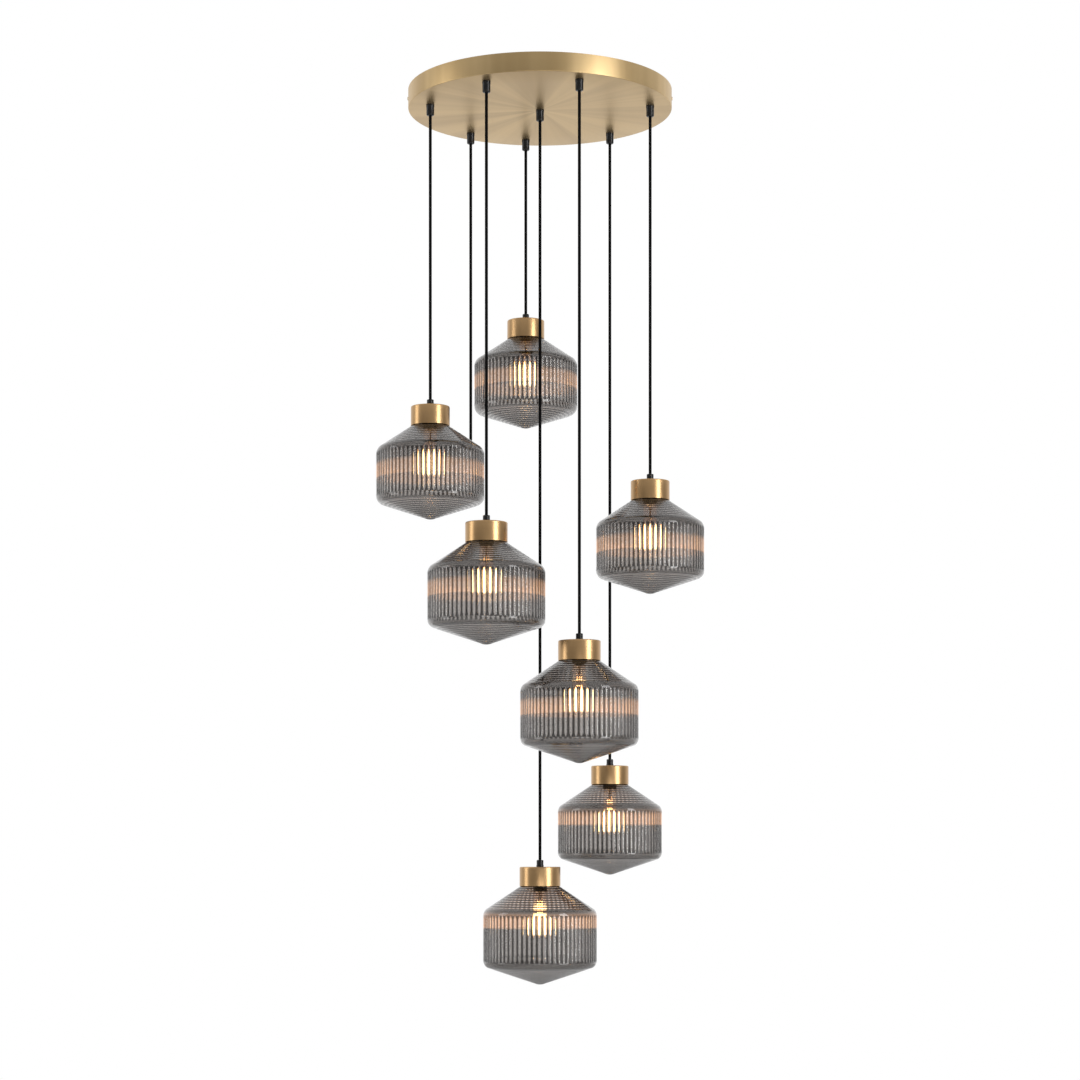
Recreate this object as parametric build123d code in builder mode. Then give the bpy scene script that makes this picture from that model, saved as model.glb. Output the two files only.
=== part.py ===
from build123d import *
import os
from math import cos, radians, sin, sqrt, tan

# Cluster pendant: seven fluted glass lamps that hang at staggered heights from one round canopy.
# Millimetres. The ceiling is the plane Z = 0, the canopy's axis is Z, and the front is -Y.

os.makedirs("parts", exist_ok=True)

# ---------------------------------------------------------------- driving sizes

# canopy, a spun pan that is open towards the ceiling
CANOPY_DIAMETER = 500
CANOPY_HEIGHT = 35
CANOPY_SHEET = 1.2
CANOPY_EDGE_RADIUS = 1.5
OUTLET_RING_RADIUS = 210

# each outlet's place on the ring, in degrees anticlockwise from +X seen from above
RING_OUTLETS = {1: 97.7, 2: 190, 3: 352, 4: 242.2, 5: 290, 6: 49.3}
SPARE_OUTLET_ANGLE = 130.3

# how far the cap of the lowest lamp hangs below the canopy, and each lamp's share of that,
# numbered from the highest lamp down
LONGEST_DROP = 1437
DROP_SHARES = {1: 0.249, 2: 0.396, 3: 0.493, 4: 0.561, 5: 0.712, 6: 0.863, 7: 1}
SPARE_CORD_DROP = 612

# cords and the grips at both of their ends
CORD_DIAMETER = 5.6
CORD_PLAY = 0.3
CANOPY_GRIP_DIAMETER = 15.5
CANOPY_GRIP_HEIGHT = 21
CANOPY_GRIP_ROUNDING = 2.5
CAP_GRIP_DIAMETER = 14
CAP_GRIP_HEIGHT = 13
CAP_GRIP_ROUNDING = 1.2
CORD_INSERT = 4
STEM_DIAMETER = 9.8
STEM_PLAY = 0.2
LOCK_NUT_ACROSS_FLATS = 14
LOCK_NUT_THICKNESS = 3
STEM_PROTRUSION = 2

# brass cap of a lamp
CAP_TO_SHADE = 0.36
CAP_HEIGHT = 36.5
CAP_WALL = 1.5
CAP_EDGE_RADIUS = 2.2

# lampholder and lamp
HOLDER_DIAMETER = 28
HOLDER_LENGTH = 57
HOLDER_BOSS_DIAMETER = 20
HOLDER_BOSS_HEIGHT = 9
HOLDER_SKIRT_WALL = 3
HOLDER_SKIRT_DEPTH = 10
STEM_IN_HOLDER = 7
LAMP_BASE_DIAMETER = 13.9
LAMP_BASE_LENGTH = 25
LAMP_BASE_PLAY = 0.25
LAMP_COLLAR_DIAMETER = 16
LAMP_COLLAR_THICKNESS = 1.5
LAMP_DIAMETER = 26
LAMP_LENGTH = 78
LAMP_GLASS = 0.9
LAMP_NECK_LENGTH = 9
FILAMENT_DIAMETER = 2
FILAMENT_LENGTH = 40
FILAMENT_RING_DIAMETER = 8
FILAMENTS = 4
STEM_PRESS_DIAMETER = 5
STEM_PRESS_LENGTH = 20
FILAMENT_DISC = 1.2

# glass shade, in two sizes
SMALL_SHADE_DIAMETER = 203.5
LARGE_SHADE_DIAMETER = 215.5
LARGE_LAMPS = (4, 5, 7)
SHADE_GLASS = 3
WALL_TO_DIAMETER = 0.488
TOP_SLOPE = 33.7
BOTTOM_SLOPE = 18.5
SHOULDER_RADIUS = 14
FOOT_RADIUS = 13
TIP_RADIUS = 25
NECK_PLAY = 0.4
NECK_HEIGHT = 22
FLUTES = 72
FLUTE_DEPTH = 1.2
FLUTE_INSET = 0.2
FLUTE_END_LAND = 0.8
TOP_RINGS = 8
TOP_RING_PITCH = 7.2
BOTTOM_RINGS = 8
BOTTOM_RING_PITCH = 9.6
RING_DEPTH = 0.8

# ceiling bracket, the two screws through the canopy's rim, and the terminal block
BRACKET_WIDTH = 30
BRACKET_SHEET = 2
BRACKET_TAB_HEIGHT = 20
BRACKET_SLOT_SPACING = 120
BRACKET_SLOT_LENGTH = 26
BRACKET_SLOT_WIDTH = 5.5
CABLE_HOLE_DIAMETER = 20
RIM_SCREW_DIAMETER = 4
RIM_SCREW_LENGTH = 9
RIM_SCREW_HEAD_DIAMETER = 7
RIM_SCREW_HEAD_HEIGHT = 1.6
RIM_SCREW_PLAY = 0.2
RIM_SCREW_DEPTH = 13
BLOCK_WIDTH = 104
BLOCK_DEPTH = 20
BLOCK_HEIGHT = 17
BLOCK_BEHIND_CENTRE = 85
BLOCK_PITCH = 12

# cord tails inside the canopy
TAIL_BELOW_CEILING = 9
TAIL_BEND_RADIUS = 14

# insulating cap on the end of the spare cord
END_CAP_DIAMETER = 14
END_CAP_LENGTH = 30
END_CAP_ROUNDING = 2

# ---------------------------------------------------------------- places worked out from them

CANOPY_UNDERSIDE = -CANOPY_HEIGHT
CANOPY_FLOOR = CANOPY_UNDERSIDE + CANOPY_SHEET
CORD_BORE = CORD_DIAMETER + 2 * CORD_PLAY
STEM_HOLE = STEM_DIAMETER + 2 * STEM_PLAY
STEM_TOP = CANOPY_FLOOR + LOCK_NUT_THICKNESS + STEM_PROTRUSION
CORD_TOP = CANOPY_UNDERSIDE - CANOPY_GRIP_HEIGHT + CORD_INSERT


def on_ring(angle):
    """A place on the canopy's ring of outlets."""
    return (
        OUTLET_RING_RADIUS * cos(radians(angle)),
        OUTLET_RING_RADIUS * sin(radians(angle)),
    )


# lamp 7 hangs from the outlet in the middle
OUTLETS = {lamp: on_ring(angle) for lamp, angle in RING_OUTLETS.items()}
OUTLETS[7] = (0, 0)
SPARE_OUTLET = on_ring(SPARE_OUTLET_ANGLE)
ALL_OUTLETS = [*OUTLETS.values(), SPARE_OUTLET]


def write(piece, node):
    """Label a finished piece and write it as its own file."""
    piece.part.label = node
    export_step(piece.part, f"parts/{node}.step")


# ---------------------------------------------------------------- canopy

# A pan with a hole for each grip's stem, and one through each side for the rim screws.
with BuildPart() as canopy:
    Cylinder(
        CANOPY_DIAMETER / 2,
        CANOPY_HEIGHT,
        align=(Align.CENTER, Align.CENTER, Align.MAX),
    )
    fillet(canopy.edges().group_by(Axis.Z)[0], CANOPY_EDGE_RADIUS)
    offset(amount=-CANOPY_SHEET, openings=canopy.faces().sort_by(Axis.Z)[-1])
    with Locations(*[(x, y, CANOPY_FLOOR) for x, y in ALL_OUTLETS]):
        Hole(STEM_HOLE / 2, 2 * CANOPY_SHEET)
    with Locations(Plane.YZ.shift_origin((0, 0, -RIM_SCREW_DEPTH)).location):
        Hole(RIM_SCREW_DIAMETER / 2 + RIM_SCREW_PLAY)
write(canopy, "canopy")

# The bar that is fixed to the ceiling. Its ends turn down inside the rim and take the rim screws.
BRACKET_LENGTH = 2 * (
    sqrt((CANOPY_DIAMETER / 2 - CANOPY_SHEET) ** 2 - (BRACKET_WIDTH / 2) ** 2) - STEM_PLAY
)
with BuildPart() as ceiling_bracket:
    with BuildSketch(Plane.XZ.offset(-BRACKET_WIDTH / 2)) as bracket_side:
        with BuildLine():
            Polyline(
                (-BRACKET_LENGTH / 2, -BRACKET_TAB_HEIGHT),
                (-BRACKET_LENGTH / 2, 0),
                (BRACKET_LENGTH / 2, 0),
                (BRACKET_LENGTH / 2, -BRACKET_TAB_HEIGHT),
                (BRACKET_LENGTH / 2 - BRACKET_SHEET, -BRACKET_TAB_HEIGHT),
                (BRACKET_LENGTH / 2 - BRACKET_SHEET, -BRACKET_SHEET),
                (-BRACKET_LENGTH / 2 + BRACKET_SHEET, -BRACKET_SHEET),
                (-BRACKET_LENGTH / 2 + BRACKET_SHEET, -BRACKET_TAB_HEIGHT),
                close=True,
            )
        make_face()
    extrude(amount=BRACKET_WIDTH)
    outer_bends = ceiling_bracket.edges().filter_by(Axis.Y).group_by(Axis.Z)[-1]
    fillet(outer_bends, BRACKET_SHEET)
    with BuildSketch(Plane.XY):
        with Locations((-BRACKET_SLOT_SPACING / 2, 0), (BRACKET_SLOT_SPACING / 2, 0)):
            SlotOverall(BRACKET_SLOT_LENGTH, BRACKET_SLOT_WIDTH)
        Circle(CABLE_HOLE_DIAMETER / 2)
    extrude(amount=-BRACKET_SHEET, mode=Mode.SUBTRACT)
    with Locations(Plane.YZ.shift_origin((0, 0, -RIM_SCREW_DEPTH)).location):
        Hole(RIM_SCREW_DIAMETER / 2 + RIM_SCREW_PLAY / 2)
write(ceiling_bracket, "ceiling_bracket")

# One screw through each end of the canopy's diameter, with a low domed head.
with BuildPart() as rim_screw:
    Cylinder(
        RIM_SCREW_HEAD_DIAMETER / 2,
        RIM_SCREW_HEAD_HEIGHT,
        align=(Align.CENTER, Align.CENTER, Align.MIN),
    )
    fillet(rim_screw.edges().group_by(Axis.Z)[-1], RIM_SCREW_HEAD_HEIGHT * 0.6)
    Cylinder(
        RIM_SCREW_DIAMETER / 2,
        RIM_SCREW_LENGTH,
        align=(Align.CENTER, Align.CENTER, Align.MAX),
    )

with BuildPart() as rim_screws:
    for side in (1, -1):
        seat = Plane(
            origin=(side * CANOPY_DIAMETER / 2, 0, -RIM_SCREW_DEPTH),
            x_dir=(0, 1, 0),
            z_dir=(side, 0, 0),
        )
        with Locations(seat.location):
            add(rim_screw.part)
write(rim_screws, "rim_screws")

# ---------------------------------------------------------------- grips and nuts at the canopy

# A moulded grip: a round body under the canopy and a hollow stem up through it.
with BuildPart() as canopy_grip:
    with Locations((0, 0, CANOPY_UNDERSIDE)):
        Cylinder(
            CANOPY_GRIP_DIAMETER / 2,
            CANOPY_GRIP_HEIGHT,
            align=(Align.CENTER, Align.CENTER, Align.MAX),
        )
    fillet(canopy_grip.edges().group_by(Axis.Z)[0], CANOPY_GRIP_ROUNDING)
    with Locations((0, 0, CANOPY_UNDERSIDE)):
        Cylinder(
            STEM_DIAMETER / 2,
            STEM_TOP - CANOPY_UNDERSIDE,
            align=(Align.CENTER, Align.CENTER, Align.MIN),
        )
    with Locations((0, 0, STEM_TOP)):
        Hole(CORD_BORE / 2)

with BuildPart() as canopy_cord_grips:
    with Locations(*ALL_OUTLETS):
        add(canopy_grip.part)
write(canopy_cord_grips, "canopy_cord_grips")

with BuildPart() as grip_lock_nuts:
    with BuildSketch(Plane.XY.offset(CANOPY_FLOOR)):
        with Locations(*ALL_OUTLETS):
            RegularPolygon(LOCK_NUT_ACROSS_FLATS / 2, 6, major_radius=False)
            Circle(STEM_HOLE / 2, mode=Mode.SUBTRACT)
    extrude(amount=LOCK_NUT_THICKNESS)
write(grip_lock_nuts, "grip_lock_nuts")

# ---------------------------------------------------------------- wiring inside the canopy

# A strip of terminals on the canopy's floor, with a screw well over each way.
BLOCK_WAYS = len(ALL_OUTLETS)
with BuildPart() as terminal_block:
    with Locations((0, BLOCK_BEHIND_CENTRE, CANOPY_FLOOR)):
        Box(
            BLOCK_WIDTH,
            BLOCK_DEPTH,
            BLOCK_HEIGHT,
            align=(Align.CENTER, Align.CENTER, Align.MIN),
        )
    chamfer(terminal_block.edges().filter_by(Axis.X).group_by(Axis.Z)[-1], BLOCK_HEIGHT / 5)
    block_top = Plane.XY.offset(CANOPY_FLOOR + BLOCK_HEIGHT)
    with Locations((block_top * Location((0, BLOCK_BEHIND_CENTRE, 0)))):
        with GridLocations(BLOCK_PITCH, 1, BLOCK_WAYS, 1):
            Hole(BLOCK_PITCH / 4, BLOCK_HEIGHT / 2)
write(terminal_block, "terminal_block")

# Each cord runs on from its grip, up, over, and down to its own way on the block.
TAIL_START = CORD_TOP + CORD_PLAY
TAIL_LEVEL = -TAIL_BELOW_CEILING
TERMINAL_LEVEL = CANOPY_FLOOR + BLOCK_HEIGHT / 2


def tail_points(outlet, way, face):
    """A tail's route from its outlet to one way on the block's front (-1) or back (1) face."""
    x, y = outlet
    end_x = way * BLOCK_PITCH
    face_y = BLOCK_BEHIND_CENTRE + face * BLOCK_DEPTH / 2
    run = Vector(end_x - x, face_y - y, TERMINAL_LEVEL - TAIL_LEVEL).normalized()
    reach = CORD_PLAY + CORD_DIAMETER / 2 * sqrt(1 - run.Y**2)
    return [
        (x, y, TAIL_START),
        (x, y, TAIL_LEVEL),
        (end_x, face_y + face * reach, TERMINAL_LEVEL),
    ]


TAILS = [
    tail_points(OUTLETS[2], -4, -1),
    tail_points(OUTLETS[4], -2, -1),
    tail_points(OUTLETS[7], 0, -1),
    tail_points(OUTLETS[5], 2, -1),
    tail_points(OUTLETS[3], 4, -1),
    tail_points(SPARE_OUTLET, -3, 1),
    tail_points(OUTLETS[1], 0, 1),
    tail_points(OUTLETS[6], 3, 1),
]

with BuildPart() as cord_tails:
    for points in TAILS:
        with BuildLine() as route:
            FilletPolyline(*points, radius=TAIL_BEND_RADIUS)
        with BuildSketch(Plane(origin=points[0], z_dir=(0, 0, 1))):
            Circle(CORD_DIAMETER / 2)
        sweep(path=route.line)
write(cord_tails, "cord_tails")
print("bend radius of the cord tails, mm:", TAIL_BEND_RADIUS)

# ---------------------------------------------------------------- pieces of one lamp

# Every piece below is drawn once, with the top of the lamp's cap at Z = 0, and hung seven times.

# The moulded grip on the cap: the cord ends in its blind bore, and its stem holds the lampholder.
with BuildPart() as cap_grip:
    Cylinder(
        CAP_GRIP_DIAMETER / 2,
        CAP_GRIP_HEIGHT,
        align=(Align.CENTER, Align.CENTER, Align.MIN),
    )
    fillet(cap_grip.edges().group_by(Axis.Z)[-1], CAP_GRIP_ROUNDING)
    Cylinder(
        STEM_DIAMETER / 2,
        CAP_WALL + STEM_IN_HOLDER,
        align=(Align.CENTER, Align.CENTER, Align.MAX),
    )
    with Locations((0, 0, CAP_GRIP_HEIGHT)):
        Hole(CORD_BORE / 2, CORD_INSERT + CORD_PLAY)

def spun_cap(shade_diameter):
    """The spun brass cup that covers the shade's neck."""
    with BuildPart() as cap:
        Cylinder(
            shade_diameter * CAP_TO_SHADE / 2,
            CAP_HEIGHT,
            align=(Align.CENTER, Align.CENTER, Align.MAX),
        )
        fillet(cap.edges().group_by(Axis.Z)[-1], CAP_EDGE_RADIUS)
        offset(amount=-CAP_WALL, openings=cap.faces().sort_by(Axis.Z)[0])
        Hole(STEM_HOLE / 2, CAP_HEIGHT / 2)
    return cap


# The lampholder: a boss on the grip's stem, a round body, and a bore that takes the lamp's base.
HOLDER_TOP = -CAP_WALL
HOLDER_BOTTOM = HOLDER_TOP - HOLDER_LENGTH
LAMP_BASE_TOP = HOLDER_BOTTOM + LAMP_BASE_LENGTH
with BuildPart() as lampholder:
    with BuildSketch(Plane.XZ):
        with BuildLine():
            Polyline(
                (0, HOLDER_TOP),
                (HOLDER_BOSS_DIAMETER / 2, HOLDER_TOP),
                (HOLDER_BOSS_DIAMETER / 2, HOLDER_TOP - HOLDER_BOSS_HEIGHT / 2),
                (HOLDER_DIAMETER / 2, HOLDER_TOP - HOLDER_BOSS_HEIGHT),
                (HOLDER_DIAMETER / 2, HOLDER_BOTTOM),
                (0, HOLDER_BOTTOM),
                close=True,
            )
        make_face()
    revolve(axis=Axis.Z)
    with Locations((0, 0, HOLDER_TOP)):
        Hole(STEM_DIAMETER / 2 + STEM_PLAY, STEM_IN_HOLDER + STEM_PLAY)
    with Locations(Plane(origin=(0, 0, HOLDER_BOTTOM), z_dir=(0, 0, -1)).location):
        CounterBoreHole(
            LAMP_BASE_DIAMETER / 2 + LAMP_BASE_PLAY,
            HOLDER_DIAMETER / 2 - HOLDER_SKIRT_WALL,
            HOLDER_SKIRT_DEPTH,
            LAMP_BASE_LENGTH + LAMP_BASE_PLAY,
        )

# The lamp's screw base and, hanging from it, the glass press with its ring of filaments.
COLLAR_BOTTOM = HOLDER_BOTTOM
COLLAR_TOP = COLLAR_BOTTOM + LAMP_COLLAR_THICKNESS
PRESS_BOTTOM = COLLAR_BOTTOM - STEM_PRESS_LENGTH
with BuildPart() as lamp_base:
    with Locations((0, 0, COLLAR_TOP)):
        Cylinder(
            LAMP_BASE_DIAMETER / 2,
            LAMP_BASE_TOP - COLLAR_TOP,
            align=(Align.CENTER, Align.CENTER, Align.MIN),
        )
    chamfer(lamp_base.edges().group_by(Axis.Z)[-1], LAMP_BASE_DIAMETER / 5)
    with Locations((0, 0, COLLAR_BOTTOM)):
        Cylinder(
            LAMP_COLLAR_DIAMETER / 2,
            LAMP_COLLAR_THICKNESS,
            align=(Align.CENTER, Align.CENTER, Align.MIN),
        )
        Cylinder(
            STEM_PRESS_DIAMETER / 2,
            STEM_PRESS_LENGTH,
            align=(Align.CENTER, Align.CENTER, Align.MAX),
        )
    for disc_top in (PRESS_BOTTOM, PRESS_BOTTOM - FILAMENT_DISC - FILAMENT_LENGTH):
        with Locations((0, 0, disc_top)):
            Cylinder(
                FILAMENT_RING_DIAMETER / 2 + FILAMENT_DIAMETER,
                FILAMENT_DISC,
                align=(Align.CENTER, Align.CENTER, Align.MAX),
            )
    with Locations((0, 0, PRESS_BOTTOM - FILAMENT_DISC)):
        with PolarLocations(FILAMENT_RING_DIAMETER / 2, FILAMENTS):
            Cylinder(
                FILAMENT_DIAMETER / 2,
                FILAMENT_LENGTH,
                align=(Align.CENTER, Align.CENTER, Align.MAX),
            )

# The lamp's tubular envelope: a blown shell, open at the neck where it is sealed to the base.
LAMP_BOTTOM = COLLAR_BOTTOM - LAMP_LENGTH
with BuildPart() as lamp_glass:
    with BuildSketch(Plane.XZ) as envelope:
        with BuildLine():
            Polyline(
                (0, COLLAR_BOTTOM),
                (LAMP_COLLAR_DIAMETER / 2, COLLAR_BOTTOM),
                (LAMP_DIAMETER / 2, COLLAR_BOTTOM - LAMP_NECK_LENGTH),
                (LAMP_DIAMETER / 2, LAMP_BOTTOM),
                (0, LAMP_BOTTOM),
                close=True,
            )
        make_face()
        rim = envelope.vertices().sort_by_distance((LAMP_DIAMETER / 2, LAMP_BOTTOM))[0]
        fillet(rim, LAMP_DIAMETER * 0.4)
        belly = (LAMP_DIAMETER / 2, COLLAR_BOTTOM - LAMP_NECK_LENGTH)
        fillet(envelope.vertices().sort_by_distance(belly)[0], LAMP_NECK_LENGTH)
    revolve(axis=Axis.Z)
    offset(amount=-LAMP_GLASS, openings=lamp_glass.faces().sort_by(Axis.Z)[-1])

def ring_grooves(start, end, rings, pitch):
    """The corners of the V grooves of a ringed cone, centred on its slope from start to end."""
    start, end = Vector(*start), Vector(*end)
    slope = (end - start).normalized()
    inward = Vector(slope.Y, -slope.X) * RING_DEPTH
    for ring in range(rings):
        here = (start + end) / 2 + slope * pitch * (ring - (rings - 1) / 2)
        yield here - slope * pitch / 2, here + inward, here + slope * pitch / 2


def flute_corners(radius):
    """The wall's outline seen from above: a ridge and a valley for each flute."""
    for corner in range(2 * FLUTES):
        reach = radius - FLUTE_INSET - FLUTE_DEPTH * (corner % 2)
        yield Vector(reach, 0).rotate(Axis.Z, 180 * corner / FLUTES)


def blown_shade(diameter):
    """One blown shell of smoked glass. Its wall is fluted, and its two cones are ringed."""
    radius = diameter / 2
    neck_radius = radius * CAP_TO_SHADE - CAP_WALL - NECK_PLAY
    shoulder_z = -CAP_HEIGHT - (radius - neck_radius) * tan(radians(TOP_SLOPE))
    foot_z = shoulder_z - diameter * WALL_TO_DIAMETER
    apex_z = foot_z - radius * tan(radians(BOTTOM_SLOPE))
    tip_centre = apex_z + TIP_RADIUS / cos(radians(BOTTOM_SLOPE))
    neck_foot, shoulder, foot = (neck_radius, -CAP_HEIGHT), (radius, shoulder_z), (radius, foot_z)
    flute_top = shoulder_z - SHOULDER_RADIUS * tan(radians(90 - TOP_SLOPE) / 2) - FLUTE_END_LAND
    flute_bottom = foot_z + FOOT_RADIUS * tan(radians(90 - BOTTOM_SLOPE) / 2) + FLUTE_END_LAND
    print("one lamp from the cap's top to the shade's tip, mm:", round(TIP_RADIUS - tip_centre, 1))
    with BuildPart() as shade:
        with BuildSketch(Plane.XZ):
            with BuildLine():
                tip = CenterArc((0, tip_centre), TIP_RADIUS, -90, BOTTOM_SLOPE)
                FilletPolyline(
                    tip @ 1,
                    foot,
                    shoulder,
                    neck_foot,
                    (neck_radius, NECK_HEIGHT - CAP_HEIGHT),
                    radius=[FOOT_RADIUS, SHOULDER_RADIUS, 0],
                )
                offset(amount=SHADE_GLASS, side=Side.LEFT)
            make_face()
        revolve(axis=Axis.Z)
        with BuildSketch(Plane.XZ):
            for corners in [
                *ring_grooves(neck_foot, shoulder, TOP_RINGS, TOP_RING_PITCH),
                *ring_grooves(foot, (0, apex_z), BOTTOM_RINGS, BOTTOM_RING_PITCH),
            ]:
                with BuildLine():
                    Polyline(*corners, close=True)
                make_face()
        revolve(axis=Axis.Z, mode=Mode.SUBTRACT)
        with BuildSketch(Plane.XY.offset(flute_bottom)):
            Circle(radius + FLUTE_DEPTH)
            with BuildLine():
                Polyline(*flute_corners(radius), close=True)
            make_face(mode=Mode.SUBTRACT)
        extrude(amount=flute_top - flute_bottom, mode=Mode.SUBTRACT)
    return shade


# ---------------------------------------------------------------- the seven lamps and the spare cord

# Three of the lamps have the larger shade, with a cap to match. All take the same lamp.
LAMP_PIECES = {
    "cord_grip": cap_grip,
    "lampholder": lampholder,
    "lamp_base": lamp_base,
    "lamp_glass": lamp_glass,
}
SMALL_GLASS = {"cap": spun_cap(SMALL_SHADE_DIAMETER), "shade": blown_shade(SMALL_SHADE_DIAMETER)}
LARGE_GLASS = {"cap": spun_cap(LARGE_SHADE_DIAMETER), "shade": blown_shade(LARGE_SHADE_DIAMETER)}


def hang_cord(node, outlet, bottom):
    """A taut cord from inside its canopy grip down to where it ends in what it carries."""
    with BuildPart() as cord:
        with Locations((*outlet, CORD_TOP)):
            Cylinder(
                CORD_DIAMETER / 2,
                CORD_TOP - bottom,
                align=(Align.CENTER, Align.CENTER, Align.MAX),
            )
    write(cord, node)
    seen = CORD_TOP - bottom - 2 * CORD_INSERT
    print(f"{node} in view, mm: {seen:.1f}")


for lamp, outlet in OUTLETS.items():
    cap_top = CANOPY_UNDERSIDE - LONGEST_DROP * DROP_SHARES[lamp]
    hang_cord(f"cord_{lamp}", outlet, cap_top + CAP_GRIP_HEIGHT - CORD_INSERT)
    glass = LARGE_GLASS if lamp in LARGE_LAMPS else SMALL_GLASS
    for name, piece in {**LAMP_PIECES, **glass}.items():
        with BuildPart() as hung:
            with Locations((*outlet, cap_top)):
                add(piece.part)
        write(hung, f"{name}_{lamp}")

# The eighth cord carries no lamp. It ends in an insulating cap behind lamp 2.
END_CAP_TOP = CANOPY_UNDERSIDE - SPARE_CORD_DROP
hang_cord("spare_cord", SPARE_OUTLET, END_CAP_TOP - CORD_INSERT)
with BuildPart() as spare_cord_cap:
    with Locations((*SPARE_OUTLET, END_CAP_TOP)):
        Cylinder(
            END_CAP_DIAMETER / 2,
            END_CAP_LENGTH,
            align=(Align.CENTER, Align.CENTER, Align.MAX),
        )
    fillet(spare_cord_cap.edges().filter_by(GeomType.CIRCLE), END_CAP_ROUNDING)
    with Locations((*SPARE_OUTLET, END_CAP_TOP)):
        Hole(CORD_BORE / 2, CORD_INSERT)
write(spare_cord_cap, "spare_cord_cap")
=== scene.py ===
from math import atan2, cos, pi, radians, sin, sqrt, tan

import bmesh
import bpy
from mathutils import Matrix, Vector


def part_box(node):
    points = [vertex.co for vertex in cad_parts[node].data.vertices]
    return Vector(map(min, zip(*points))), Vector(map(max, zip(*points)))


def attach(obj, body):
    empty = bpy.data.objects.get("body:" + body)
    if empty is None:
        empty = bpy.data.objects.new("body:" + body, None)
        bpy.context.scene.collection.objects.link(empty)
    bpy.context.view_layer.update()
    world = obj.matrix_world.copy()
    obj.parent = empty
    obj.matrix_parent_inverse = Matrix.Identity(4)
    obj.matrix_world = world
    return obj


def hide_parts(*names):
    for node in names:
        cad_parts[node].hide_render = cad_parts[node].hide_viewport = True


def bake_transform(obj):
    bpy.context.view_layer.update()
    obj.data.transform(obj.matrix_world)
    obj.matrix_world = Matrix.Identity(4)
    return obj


# Cluster pendant: seven fluted glass lamps that hang at staggered heights from one round canopy.
# Metres. The ceiling is the plane Z = 0, the canopy's axis is Z, and the front is -Y.

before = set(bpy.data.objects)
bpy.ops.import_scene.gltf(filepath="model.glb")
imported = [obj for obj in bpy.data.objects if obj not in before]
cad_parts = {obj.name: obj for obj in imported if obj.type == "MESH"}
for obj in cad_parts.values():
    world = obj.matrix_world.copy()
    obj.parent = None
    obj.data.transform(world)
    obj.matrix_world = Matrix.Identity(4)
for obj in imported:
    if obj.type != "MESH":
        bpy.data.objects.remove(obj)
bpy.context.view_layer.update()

# ---------------------------------------------------------------- camera
# The photograph is taken level, from the height of the lowest lamps, with a long lens whose picture
# is shifted upwards, so that the cords stay upright.

EYE = (0, -4.94, -1.44)
LENS_MM = 86.7
SENSOR_MM = 36
UPWARD_SHIFT = 0.287

lens = bpy.data.cameras.new("camera")
lens.lens = LENS_MM
lens.sensor_width = SENSOR_MM
lens.shift_y = UPWARD_SHIFT
camera = bpy.data.objects.new("camera", lens)
camera.location = EYE
camera.rotation_euler = (radians(90), 0, 0)
bpy.context.scene.collection.objects.link(camera)
bpy.context.scene.camera = camera

# ---------------------------------------------------------------- cords
# Eight round pendant cords in a black braided sleeve. Seven carry a lamp each and hang dead straight
# under its weight, from a grip in the canopy to a grip on the lamp's cap; the eighth is a spare.


class Value:
    """A number that varies over a surface. Arithmetic on it adds Math nodes to its finish."""

    def __init__(self, finish, output):
        self.finish = finish
        self.output = output

    def maths(self, operation, *others):
        terms = dict(enumerate((self, *others)))
        node = self.finish.add("Math", terms, operation=operation)
        return Value(self.finish, node.outputs[0])

    def reflected(self, operation, first):
        node = self.finish.add("Math", {0: first, 1: self}, operation=operation)
        return Value(self.finish, node.outputs[0])

    def __add__(self, other):
        return self.maths("ADD", other)

    def __radd__(self, other):
        return self.reflected("ADD", other)

    def __sub__(self, other):
        return self.maths("SUBTRACT", other)

    def __rsub__(self, other):
        return self.reflected("SUBTRACT", other)

    def __mul__(self, other):
        return self.maths("MULTIPLY", other)

    def __rmul__(self, other):
        return self.reflected("MULTIPLY", other)

    def __truediv__(self, other):
        return self.maths("DIVIDE", other)

    def __pow__(self, other):
        return self.maths("POWER", other)

    def sine(self):
        return self.maths("SINE")

    def size(self):
        return self.maths("ABSOLUTE")

    def rise(self, low, high):
        """0 below low, 1 above high, and smooth between them."""
        sockets = {"Value": self, "From Min": low, "From Max": high}
        node = self.finish.add("MapRange", sockets, interpolation_type="SMOOTHSTEP")
        return Value(self.finish, node.outputs["Result"])


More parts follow.
